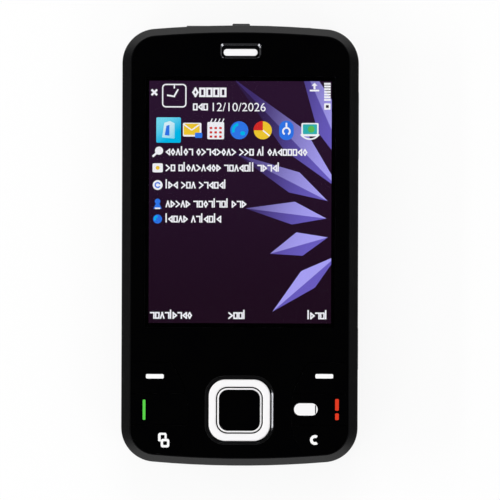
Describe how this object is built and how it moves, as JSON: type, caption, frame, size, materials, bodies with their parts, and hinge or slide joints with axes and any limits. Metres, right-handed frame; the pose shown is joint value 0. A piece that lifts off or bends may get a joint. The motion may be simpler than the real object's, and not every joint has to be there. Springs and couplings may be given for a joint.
{
  "type": "slider phone",
  "caption": "Pocket phone in two modules: the upper one, with display and navigation pad, slides up over number keys and down over media keys.",
  "frame": {"origin": "centre of the back plane on which the phone lies, below the middle of its outline", "axes": "+Y along the long sides to the earpiece end, +Z out of the display, +X to the right seen from the front"},
  "size_m": [0.0552, 0.1029, 0.018],
  "materials": {
    "housing_plastic": "fine satin black plastic",
    "cover_plastic": "fine-grained black plastic",
    "frame_paint": "satin black paint",
    "window_gloss": "polished black acrylic",
    "main_key_gloss": "polished black plastic with pale legends",
    "silver_paint": "bright silver paint",
    "number_key_plastic": "satin black with pale legends",
    "media_key_plastic": "gloss black with pale symbols",
    "lens_glass": "clear",
    "display_panel": "lit display behind glass",
    "board_green": "solder mask",
    "dome_foil": "polyester foil",
    "battery_label": "satin sleeve",
    "steel": "stamped stainless sheet",
    "kickstand_metal": "dark satin metal",
    "camera_black": "gloss black",
    "lamp_diffuser": "clear lamp window",
    "button_plastic": "satin black",
    "socket_plastic": "moulded black",
    "grille_metal": "black painted sheet"
  },
  "bodies": {
    "base": {"rear_housing": "housing_plastic", "keypad_deck": "housing_plastic", "slide_plate": "steel", "battery": "battery_label", "main_board": "board_green", "dome_sheets": "dome_foil", "housing_screws": "steel", "camera_module": "camera_black", "camera_plate": "camera_black", "camera_glass": "lens_glass", "flash_lamps": "lamp_diffuser", "kickstand_pin": "steel", "headphone_jack": "socket_plastic", "data_socket": "steel", "charging_socket": "socket_plastic", "speaker_grilles": "grille_metal", "memory_card": "socket_plastic"},
    "slider": {"slider_back": "housing_plastic", "slider_frame": "frame_paint", "front_window": "window_gloss", "display_lens": "lens_glass", "display_module": "display_panel", "key_board": "board_green", "earpiece_grille": "grille_metal", "earpiece_bar": "silver_paint"},
    "battery_cover": {"battery_cover": "cover_plastic"},
    "kickstand": {"kickstand": "kickstand_metal"},
    "card_door": {"card_door": "button_plastic"},
    "volume_rocker": {"volume_rocker": "button_plastic"},
    "camera_key": {"camera_key": "button_plastic"},
    "power_key": {"power_key": "button_plastic"},
    "lock_slider": {"lock_slider": "button_plastic"},
    "key_1": {"key_1": "number_key_plastic"},
    "key_2": {"key_2": "number_key_plastic"},
    "key_3": {"key_3": "number_key_plastic"},
    "key_4": {"key_4": "number_key_plastic"},
    "key_5": {"key_5": "number_key_plastic"},
    "key_6": {"key_6": "number_key_plastic"},
    "key_7": {"key_7": "number_key_plastic"},
    "key_8": {"key_8": "number_key_plastic"},
    "key_9": {"key_9": "number_key_plastic"},
    "key_star": {"key_star": "number_key_plastic"},
    "key_0": {"key_0": "number_key_plastic"},
    "key_hash": {"key_hash": "number_key_plastic"},
    "media_key_back": {"media_key_back": "media_key_plastic"},
    "media_key_play": {"media_key_play": "media_key_plastic"},
    "media_key_stop": {"media_key_stop": "media_key_plastic"},
    "media_key_next": {"media_key_next": "media_key_plastic"},
    "left_soft_key": {"left_soft_key": "main_key_gloss"},
    "right_soft_key": {"right_soft_key": "main_key_gloss"},
    "call_key": {"call_key": "main_key_gloss"},
    "end_key": {"end_key": "main_key_gloss"},
    "menu_key": {"menu_key": "main_key_gloss"},
    "clear_key": {"clear_key": "main_key_gloss"},
    "multimedia_key": {"multimedia_key": "silver_paint"},
    "nav_gimbal": {"nav_gimbal": "steel"},
    "nav_ring": {"nav_ring": "silver_paint"},
    "select_key": {"select_key": "silver_paint", "select_cap": "main_key_gloss"}
  },
  "joints": [
    {"name": "display_slide", "type": "slide", "parent": "base", "child": "slider", "axis": [0, 1, 0], "range_m": [-0.013, 0.033]},
    {"name": "battery_cover_slide", "type": "slide", "parent": "base", "child": "battery_cover", "axis": [0, -1, 0], "range_m": [0, 0.07]},
    {"name": "kickstand_hinge", "type": "hinge", "parent": "base", "child": "kickstand", "pos_m": [-0.0193, 0.031, 0.0007], "axis": [0, 1, 0], "range_deg": [0, 65]},
    {"name": "card_door_hinge", "type": "hinge", "parent": "base", "child": "card_door", "pos_m": [-0.02705, -0.0245, 0.0054], "axis": [0, 0, 1], "range_deg": [0, 80]},
    {"name": "volume_rock", "type": "hinge", "parent": "base", "child": "volume_rocker", "pos_m": [0.0261, 0.028, 0.0054], "axis": [0, 0, 1], "range_deg": [-1.5, 1.5], "stiffness_Nm_per_rad": 0.3},
    {"name": "camera_key_press", "type": "slide", "parent": "base", "child": "camera_key", "axis": [-1, 0, 0], "range_m": [0, 0.0003], "stiffness_N_per_m": 4000},
    {"name": "power_key_press", "type": "slide", "parent": "base", "child": "power_key", "axis": [0, -1, 0], "range_m": [0, 0.0003], "stiffness_N_per_m": 4000},
    {"name": "lock_slide", "type": "slide", "parent": "base", "child": "lock_slider", "axis": [1, 0, 0], "range_m": [0, 0.0012], "stiffness_N_per_m": 400},
    {"name": "key_1_press", "type": "slide", "parent": "base", "child": "key_1", "axis": [0, 0, -1], "range_m": [0, 0.0003], "stiffness_N_per_m": 4000},
    {"name": "key_2_press", "type": "slide", "parent": "base", "child": "key_2", "axis": [0, 0, -1], "range_m": [0, 0.0003], "stiffness_N_per_m": 4000},
    {"name": "key_3_press", "type": "slide", "parent": "base", "child": "key_3", "axis": [0, 0, -1], "range_m": [0, 0.0003], "stiffness_N_per_m": 4000},
    {"name": "key_4_press", "type": "slide", "parent": "base", "child": "key_4", "axis": [0, 0, -1], "range_m": [0, 0.0003], "stiffness_N_per_m": 4000},
    {"name": "key_5_press", "type": "slide", "parent": "base", "child": "key_5", "axis": [0, 0, -1], "range_m": [0, 0.0003], "stiffness_N_per_m": 4000},
    {"name": "key_6_press", "type": "slide", "parent": "base", "child": "key_6", "axis": [0, 0, -1], "range_m": [0, 0.0003], "stiffness_N_per_m": 4000},
    {"name": "key_7_press", "type": "slide", "parent": "base", "child": "key_7", "axis": [0, 0, -1], "range_m": [0, 0.0003], "stiffness_N_per_m": 4000},
    {"name": "key_8_press", "type": "slide", "parent": "base", "child": "key_8", "axis": [0, 0, -1], "range_m": [0, 0.0003], "stiffness_N_per_m": 4000},
    {"name": "key_9_press", "type": "slide", "parent": "base", "child": "key_9", "axis": [0, 0, -1], "range_m": [0, 0.0003], "stiffness_N_per_m": 4000},
    {"name": "key_star_press", "type": "slide", "parent": "base", "child": "key_star", "axis": [0, 0, -1], "range_m": [0, 0.0003], "stiffness_N_per_m": 4000},
    {"name": "key_0_press", "type": "slide", "parent": "base", "child": "key_0", "axis": [0, 0, -1], "range_m": [0, 0.0003], "stiffness_N_per_m": 4000},
    {"name": "key_hash_press", "type": "slide", "parent": "base", "child": "key_hash", "axis": [0, 0, -1], "range_m": [0, 0.0003], "stiffness_N_per_m": 4000},
    {"name": "media_key_back_press", "type": "slide", "parent": "base", "child": "media_key_back", "axis": [0, 0, -1], "range_m": [0, 0.0003], "stiffness_N_per_m": 4000},
    {"name": "media_key_play_press", "type": "slide", "parent": "base", "child": "media_key_play", "axis": [0, 0, -1], "range_m": [0, 0.0003], "stiffness_N_per_m": 4000},
    {"name": "media_key_stop_press", "type": "slide", "parent": "base", "child": "media_key_stop", "axis": [0, 0, -1], "range_m": [0, 0.0003], "stiffness_N_per_m": 4000},
    {"name": "media_key_next_press", "type": "slide", "parent": "base", "child": "media_key_next", "axis": [0, 0, -1], "range_m": [0, 0.0003], "stiffness_N_per_m": 4000},
    {"name": "left_soft_key_press", "type": "slide", "parent": "slider", "child": "left_soft_key", "axis": [0, 0, -1], "range_m": [0, 0.0003], "stiffness_N_per_m": 4000},
    {"name": "right_soft_key_press", "type": "slide", "parent": "slider", "child": "right_soft_key", "axis": [0, 0, -1], "range_m": [0, 0.0003], "stiffness_N_per_m": 4000},
    {"name": "call_key_press", "type": "slide", "parent": "slider", "child": "call_key", "axis": [0, 0, -1], "range_m": [0, 0.0003], "stiffness_N_per_m": 4000},
    {"name": "end_key_press", "type": "slide", "parent": "slider", "child": "end_key", "axis": [0, 0, -1], "range_m": [0, 0.0003], "stiffness_N_per_m": 4000},
    {"name": "menu_key_press", "type": "slide", "parent": "slider", "child": "menu_key", "axis": [0, 0, -1], "range_m": [0, 0.0003], "stiffness_N_per_m": 4000},
    {"name": "clear_key_press", "type": "slide", "parent": "slider", "child": "clear_key", "axis": [0, 0, -1], "range_m": [0, 0.0003], "stiffness_N_per_m": 4000},
    {"name": "multimedia_key_press", "type": "slide", "parent": "slider", "child": "multimedia_key", "axis": [0, 0, -1], "range_m": [0, 0.0003], "stiffness_N_per_m": 4000},
    {"name": "select_key_press", "type": "slide", "parent": "slider", "child": "select_key", "axis": [0, 0, -1], "range_m": [0, 0.0003], "stiffness_N_per_m": 4000},
    {"name": "nav_tilt_up_down", "type": "hinge", "parent": "slider", "child": "nav_gimbal", "pos_m": [0, -0.0383, 0.0156], "axis": [1, 0, 0], "range_deg": [-2, 2], "stiffness_Nm_per_rad": 0.25},
    {"name": "nav_tilt_left_right", "type": "hinge", "parent": "nav_gimbal", "child": "nav_ring", "pos_m": [0, -0.0383, 0.01632], "axis": [0, 1, 0], "range_deg": [-2, 2], "stiffness_Nm_per_rad": 0.25}
  ]
}
